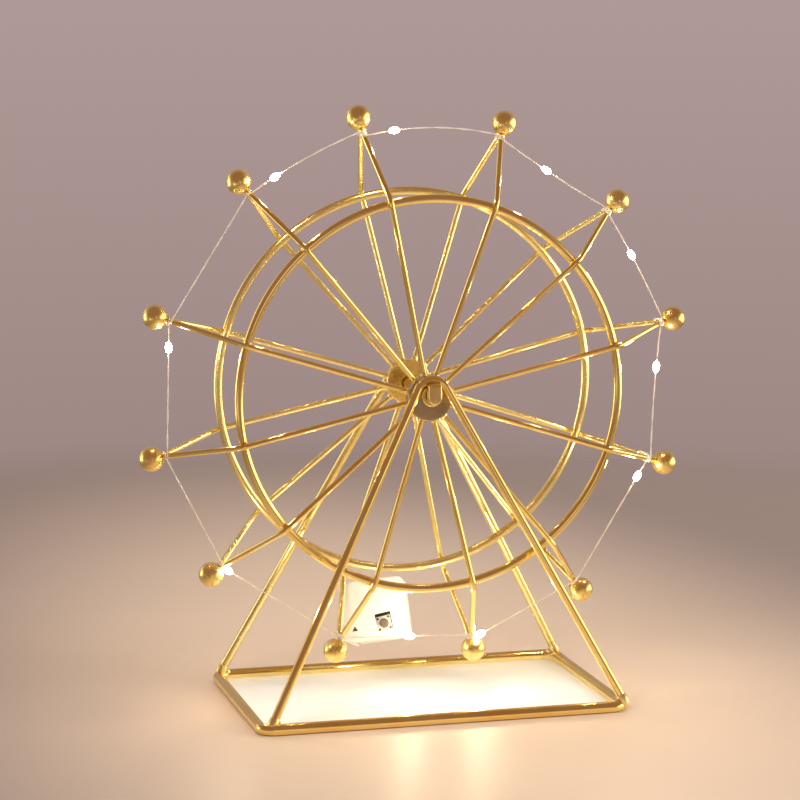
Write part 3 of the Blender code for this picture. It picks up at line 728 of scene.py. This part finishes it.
class WHEEL_OT_spokes(bpy.types.Operator):
    """Bend the twenty-four spokes, with their solder at the drums"""
    bl_idname = "wheel.spokes"
    bl_label = "Spokes"

    def execute(self, context):
        wires = context.scene.wheel_wires
        solder = []
        for side, label, finish in SIDES:
            drum = f"{label}_hub_drum"
            centre = middle(drum)
            centre.y = side * wires.spoke_hub
            paths = []
            for angle in BALL_ANGLES:
                bend, neck = (on_wheel(angle, radius, side * along)
                              for radius, along in (wires.spoke_bend, wires.spoke_neck))
                outward = Vector((bend.x - centre.x, 0, bend.z - centre.z)).normalized()
                rim = centre + outward * half_size(drum).x
                paths.append([rim - outward * wires.spoke_radius / 2, bend, neck])
                solder.append((rim, bend - rim))
            spokes = [f"{label}_spoke_{number:02d}" for number in range(1, 13)]
            keep_wires(f"{label}_spokes", paths, finish, "wheel", spokes,
                       wire_radius=wires.spoke_radius, bend_radius=wires.bend_radius,
                       bend_steps=8, sides=20)
        keep_solder("spoke_solder", solder, "wheel", radius=wires.solder_radius, length=1.15,
                    segments=24, rings=14, uneven=wires.solder_uneven, seed=11)
        return {"FINISHED"}


class WHEEL_OT_balls(bpy.types.Operator):
    """Set a polished ball with its soldered neck on each pair of spokes"""
    bl_idname = "wheel.balls"
    bl_label = "Balls"

    def execute(self, context):
        wires = context.scene.wheel_wires
        outward = [Vector((math.cos(angle), 0, math.sin(angle))) for angle in BALL_ANGLES]
        balls = [(middle(ball), out) for ball, out in zip(BALLS, outward)]
        item = beads("tip_balls", balls, "gilt_satin", radius=half_size(BALLS[0]).x,
                     segments=wires.ball_segments, rings=wires.ball_segments // 2)
        keep(item, "wheel", BALLS)
        necks = [(on_wheel(angle, wires.spoke_neck[0] + GAP, 0), out)
                 for angle, out in zip(BALL_ANGLES, outward)]
        keep_solder("neck_solder", necks, "wheel", radius=1.7 * MM, length=0.7, segments=28,
                    rings=16, uneven=wires.solder_uneven / 2, seed=5)
        return {"FINISHED"}


def neck_turns(sizes, wires, number, first, last):
    """Points of the wire wound round both spokes inside a ball, from one count of turns to another.

    A whole count of turns is on the wheel's front, where the wire comes in and goes on.
    """
    angle = BALL_ANGLES[number - 1]
    onward = Vector((math.sin(angle), 0, -math.cos(angle)))
    (bend_reach, bend_y), (neck_reach, neck_y) = wires.spoke_bend, wires.spoke_neck
    spread_rate = (bend_y - neck_y) / (neck_reach - bend_reach)
    clear = wires.spoke_radius + sizes.turn_clear
    per_turn = 24
    start = sizes.turn_start - TURNS_IN.get(number, 0) * MM
    places = []
    for step in range(round(first * per_turn), round(last * per_turn) + 1):
        turn = math.tau * step / per_turn
        reach = start - sizes.turn_pitch * step / per_turn
        spoke_y = neck_y + spread_rate * (neck_reach - reach)
        front = math.cos(turn)
        beyond = spoke_y * front / math.sqrt(front * front + 0.1)
        along = -beyond - clear * math.hypot(1, spread_rate) * front
        places.append(on_wheel(angle, reach, along) + onward * clear * math.sin(turn))
    return places


def box_matrix(box):
    """The battery box's own frame: X across, Y from its face backwards, Z up."""
    tilt, lean, swing = (Matrix.Rotation(turn, 4, axis) for turn, axis in zip(box.turn, "XYZ"))
    return Matrix.Translation(HUB + Vector(box.place)) @ swing @ tilt @ lean


def lead_hole(box):
    """Middle of the hole in the battery box's underside, in the box's own frame."""
    return Vector((box.lead[0], box.lead[1] - box.size[1] / 2, -box.size[2] / 2))


def string_route(sizes, wires, box):
    """The light string's line from the battery box and once round, and its lights' places."""
    place = box_matrix(box)
    inside = place @ (lead_hole(box) + Vector((0, 0, box.wall)))
    outside = place @ (lead_hole(box) - Vector((0, 0, 1 * MM)))
    entry = neck_turns(sizes, wires, FIRST_BALL, -0.5, TURNS[FIRST_BALL - 1])
    points = [inside, outside] + entry
    lights = []
    for offset in range(1, len(BALLS) + 1):
        number = (FIRST_BALL - 1 + offset) % len(BALLS) + 1
        first, last = 0, TURNS[number - 1]
        if number == FIRST_BALL:
            first, last = last + 1, last + 2.5
        turns = neck_turns(sizes, wires, number, first, last)
        before = (number - 2) % len(BALLS) + 1
        start, end = points[-1], turns[0]
        outward = (start + end) / 2 - HUB
        outward.y = 0
        # A bow has four times its height here, because share * (1 - share) is 1/4 in the middle.
        bow = outward.normalized() * 4 * BOWS.get(before, 0) * MM
        if before in LIGHTS:
            share = LIGHTS[before]
            lights.append((start.lerp(end, share) + bow * share * (1 - share),
                           end - start + bow * (1 - 2 * share)))
        if before in BOWS:
            points += [start.lerp(end, step / 16) + bow * step / 16 * (1 - step / 16)
                       for step in range(1, 16)]
        points += turns
    return points, lights


class WHEEL_OT_light_string(bpy.types.Operator):
    """Wind the light string's twisted strands round the necks and set its lights"""
    bl_idname = "wheel.light_string"
    bl_label = "Light string"

    def execute(self, context):
        scene = context.scene
        sizes = scene.wheel_lights
        points, lights = string_route(sizes, scene.wheel_wires, scene.wheel_box)
        item = grown("light_strands", path_mesh("light_strands", [points], False), strand_tree(),
                     "lacquered_wire", strand_radius=sizes.strand_radius,
                     apart=sizes.strands_apart, twist=sizes.twist)
        keep(item, "wheel", ["light_string"])
        item = beads("light_beads", lights, "light_resin", radius=sizes.bead_radius,
                     length=sizes.bead_length / 2 / sizes.bead_radius, segments=32, rings=20,
                     uneven=0.04, seed=2)
        keep(item, "wheel")
        return {"FINISHED"}


def carve(item, *cutters):
    """Cuts the cutters out of a piece and removes them."""
    for cutter in cutters:
        modifier = item.modifiers.new(cutter.name, "BOOLEAN")
        modifier.operation = "DIFFERENCE"
        modifier.solver = "EXACT"
        modifier.object = cutter
    plain(item)
    for cutter in cutters:
        bpy.data.objects.remove(cutter, do_unlink=True)


def settled(item, place):
    """Puts a piece's place into its mesh and shades it."""
    item.data.transform(place)
    shaded(item.data)
    return item


class WHEEL_OT_battery_box(bpy.types.Operator):
    """Make the battery box: its shell, its cover, the switch plate and the button"""
    bl_idname = "wheel.battery_box"
    bl_label = "Battery box"

    def execute(self, context):
        box = context.scene.wheel_box
        place = box_matrix(box)
        switch = (Matrix.Translation((box.switch[0], 0, box.switch[1]))
                  @ Matrix.Rotation(box.switch_turn, 4, "Y"))
        self.add_shell(box, place, switch)
        self.add_cover(box, place)
        self.add_switch(box, place, switch)
        return {"FINISHED"}

    def add_shell(self, box, place, switch):
        width, depth, height = box.size
        shell = block("box_shell", (width, depth, height), (0, 0, 0), box.corner, box.edge)
        cavity = block("cavity", (width - 2 * box.wall, depth, height - 2 * box.wall),
                       (0, box.wall, 0), box.corner - box.wall)
        side = box.switch_side + box.window_room
        window = block("window", (side + box.window_beside, 4 * box.wall, side + box.window_above),
                       (box.window_beside / 2, -depth / 2, box.window_above / 2), 0.4 * MM)
        window.data.transform(switch)
        profile = rod_profile(0.9 * MM, -2.4 * MM, 2.4 * MM)
        hole = mesh_object("lead_hole", turned_mesh("lead_hole", profile, sides=32), "box_plastic")
        hole.data.transform(Matrix.Translation(lead_hole(box)) @ Matrix.Rotation(math.pi / 2, 4, "X"))
        carve(shell, cavity, window, hole)
        keep(settled(shell, place), "wheel", ["battery_case"])

        # A body of three sides is the triangle, and it stands 0.08 mm off the face.
        profile = [(radius * MM, along * MM) for radius, along in (
            (0, 0.08), (1.25, 0.08), (1.4, 0), (1.25, -0.05), (0, -0.05))]
        mark = mesh_object("face_mark", turned_mesh("face_mark", profile, sides=3), "mark_dark")
        mark.data.transform(Matrix.Translation((box.mark[0], -depth / 2, box.mark[1]))
                            @ Matrix.Rotation(-math.pi / 2, 4, "Y"))
        keep(settled(mark, place), "wheel")

    def add_cover(self, box, place):
        width, depth, height = (half / 2 for half in box.size)
        across, up = width - box.cover_inset, height - box.cover_inset
        cover = block("box_cover", (2 * across, box.wall, 2 * up), (0, depth - box.wall / 2, 0),
                      box.corner - box.wall, 0.25 * MM)
        grooves = [block(f"groove_{step}", (9 * MM, 0.6 * MM, 0.5 * MM),
                         (0, depth, up - (2.5 + step) * MM), 0.2 * MM) for step in range(5)]
        carve(cover, *grooves)
        keep(settled(cover, place), "wheel", ["battery_cover"])

    def add_switch(self, box, place, switch):
        plate = box.switch_sunk - box.size[1] / 2
        side = box.switch_side
        can = block("switch_can", (side, box.switch_depth, side),
                    (0, plate + box.switch_depth / 2, 0), 0.3 * MM, 0.12 * MM, "switch_plate")
        profile = rod_profile(2.05 * MM, -3 * MM, 2.7 * MM)
        bore = turned_mesh("bore", profile, (0, plate, 0), 48)
        carve(can, mesh_object("bore", bore, "switch_plate"))
        keep(settled(can, place @ switch), "wheel", ["switch_body"])
        rivets = [(place @ switch @ Vector((across * 2.25 * MM, plate, up * 2.25 * MM)),
                   place.to_3x3() @ Vector((0, 1, 0))) for across in (-1, 1) for up in (-1, 1)]
        item = beads("switch_rivets", rivets, "mark_dark", radius=0.5 * MM, length=0.5, segments=20,
                     rings=10)
        keep(item, "wheel")

        # The button's dished top stands 1.6 mm before the plate, and its foot 1.8 mm behind it.
        top, foot, dish = -1.6 * MM, 1.8 * MM, 0.12 * MM
        profile = [(0, foot), (box.button_radius, foot)]
        profile += rounded_rim(box.button_radius, top, 0.3 * MM, -1)
        profile += [(1.0 * MM, top), (0.85 * MM, top + dish), (0, top + dish)]
        cap = turned_mesh("button_cap", profile, (box.switch[0], plate, box.switch[1]), 48)
        button = mesh_object("button_cap", cap, "switch_dark")
        keep(settled(button, place), "button", ["switch_button"])


def toward_camera(studio):
    """Direction from the target to the camera."""
    turn, rise = studio.azimuth, studio.elevation
    return Vector((math.sin(turn) * math.cos(rise), -math.cos(turn) * math.cos(rise), math.sin(rise)))


class WHEEL_OT_stage(bpy.types.Operator):
    """Lay the pale floor, set the soft lamps and place the camera"""
    bl_idname = "wheel.stage"
    bl_label = "Stage"

    def execute(self, context):
        studio = context.scene.wheel_studio
        self.add_floor(studio)
        self.add_world(studio)
        # Place, width, power and colour. Metal mirrors the drawn panels, not the lamps.
        for name, place, size, power, colour in (
                ("key_lamp", (-0.8, -0.9, 1.2), 0.9, 17, (1.0, 0.93, 0.84)),
                ("fill_lamp", (1.3, -0.7, 0.7), 0.8, 18, (1.0, 0.96, 0.92)),
                ("rim_lamp", (0.5, 1.2, 0.9), 1.0, 6, (1.0, 0.91, 0.80))):
            data = bpy.data.lights.new(name, "AREA")
            data.shape = "DISK"
            data.size = size
            data.energy = power
            data.color = colour
            lamp = new_object(name, data)
            lamp.location = place
            lamp.rotation_euler = (Vector((0, 0, 0.12)) - Vector(place)).to_track_quat(
                "-Z", "Y").to_euler()
            lamp.visible_glossy = False
        self.add_camera(studio)
        context.scene.view_settings.view_transform = "Standard"
        return {"FINISHED"}

    def add_floor(self, studio):
        """The floor is painted palest in a long pool of light round the wheel and painted darker out of
        it, and fades away at its end.
        """
        tree, shader = new_material("floor_paint")
        place = add_node(tree, "ShaderNodeTexCoord", output="Object")
        # A painted pool of light round the wheel; the floor is painted darker away from it.
        pool = vector_math(tree, "MULTIPLY_ADD", place, (1.4, 0.62, 1.0), (-0.03, 0.0, 0.0))
        away = ramp(tree, vector_math(tree, "LENGTH", pool), 0.08, 0.38)
        colour = two_tone(tree, away, studio.floor_lit, studio.floor_shaded)
        fade = ramp(tree, vector_math(tree, "LENGTH", place), studio.floor_full, studio.floor_end,
                    1.0, 0.0)
        worn = spread(tree, noise(tree, 6, 3), 0.40, 0.50)
        for socket, value in (("Base Color", colour), ("Roughness", worn), ("Alpha", fade)):
            tree.links.new(value, shader[socket])
        half = studio.floor_end
        mesh = bpy.data.meshes.new("floor")
        mesh.from_pydata([(-half, -half, 0), (half, -half, 0), (half, half, 0), (-half, half, 0)], [],
                         [(0, 1, 2, 3)])
        mesh_object("floor", mesh, "floor_paint")

    def add_world(self, studio):
        """Even light, a plain background for the camera, and drawn panels for metal to mirror."""
        world = bpy.data.worlds.new("studio_air")
        bpy.context.scene.world = world
        world.use_nodes = True
        tree = world.node_tree
        tree.nodes.clear()
        rays = tree.nodes.new("ShaderNodeLightPath").outputs
        toward = add_node(tree, "ShaderNodeTexCoord", output="Generated")
        height = add_node(tree, "ShaderNodeSeparateXYZ", {0: toward}, "Z")
        level = ramp(tree, height, -0.18, 0.0, curve="LINEAR")
        behind = two_tone(tree, level, studio.background_low, studio.background)

        # Pale panels beside and behind the wheel, up to a height, broken up by soft patches.
        camera = toward_camera(studio)
        front = vector_math(tree, "DOT_PRODUCT", toward, camera)
        patches = add_node(tree, "ShaderNodeTexNoise",
                           {"Vector": toward, "Scale": 1.6, "Detail": 1.0}, "Fac")
        share = ramp(tree, patches, 0.46, 0.58, curve="LINEAR")
        for part in (ramp(tree, front, -0.80, -0.30), ramp(tree, height, 0.60, 0.15)):
            share = number_math(tree, "MULTIPLY", share, part)
        panels = two_tone(tree, share, studio.background, studio.pale_panels)
        # A dark panel over the camera, and a small pale one beside it.
        for beside, start, end, colour in (
                ((0, 0, 1), 0.15, 0.62, studio.dark_panel),
                ((0.30, 0.08, -0.12), 0.988, 0.996, studio.small_panel)):
            aim = (camera + Vector(beside)).normalized()
            part = ramp(tree, vector_math(tree, "DOT_PRODUCT", toward, aim), start, end)
            panels = two_tone(tree, part, panels, colour)

        air = add_node(tree, "ShaderNodeBackground",
                       {"Color": (1.0, 0.97, 0.93, 1), "Strength": studio.world_strength})
        for ray, colour in (("Is Glossy Ray", panels), ("Is Camera Ray", behind)):
            seen = add_node(tree, "ShaderNodeBackground", {"Color": colour})
            air = add_node(tree, "ShaderNodeMixShader", {0: rays[ray], 1: air, 2: seen})
        add_node(tree, "ShaderNodeOutputWorld", {"Surface": air})

    def add_camera(self, studio):
        back = toward_camera(studio)
        right = Vector((math.cos(studio.azimuth), math.sin(studio.azimuth), 0))
        matrix = Matrix((right, back.cross(right), back)).transposed().to_4x4()
        matrix = matrix @ Matrix.Rotation(studio.roll, 4, "Z")
        matrix.translation = Vector(studio.target) + back * studio.distance
        data = bpy.data.cameras.new("photo_camera")
        data.sensor_width = 36
        data.lens = studio.focal_length
        data.clip_start = 0.01
        data.clip_end = 100
        camera = new_object("photo_camera", data)
        camera.matrix_world = matrix
        bpy.context.scene.camera = camera


class WHEEL_PT_panel(bpy.types.Panel):
    """Lists the wheel's pieces in the order they are made"""
    bl_idname = "WHEEL_PT_panel"
    bl_label = "Wire Wheel"
    bl_space_type = "VIEW_3D"
    bl_region_type = "UI"
    bl_category = "Wheel"

    def draw(self, context):
        for step in STEPS:
            self.layout.operator(step.bl_idname)


GROUPS = {"wheel_studio": WheelStudio, "wheel_wires": WheelWires, "wheel_lights": WheelLights,
          "wheel_box": WheelBox, "wheel_finish": WheelFinish}
STEPS = (WHEEL_OT_stage, WHEEL_OT_finishes, WHEEL_OT_base, WHEEL_OT_frames, WHEEL_OT_hub,
         WHEEL_OT_rings, WHEEL_OT_spokes, WHEEL_OT_balls, WHEEL_OT_light_string, WHEEL_OT_battery_box)


def register():
    for name, group in GROUPS.items():
        bpy.utils.register_class(group)
        setattr(bpy.types.Scene, name, PointerProperty(type=group))
    for step in (*STEPS, WHEEL_PT_panel):
        bpy.utils.register_class(step)


def unregister():
    for step in reversed((*STEPS, WHEEL_PT_panel)):
        bpy.utils.unregister_class(step)
    for name, group in reversed(list(GROUPS.items())):
        delattr(bpy.types.Scene, name)
        bpy.utils.unregister_class(group)


def main():
    register()
    for step in STEPS:
        group, name = step.bl_idname.split(".")
        getattr(getattr(bpy.ops, group), name)()


if __name__ == "__main__":
    main()
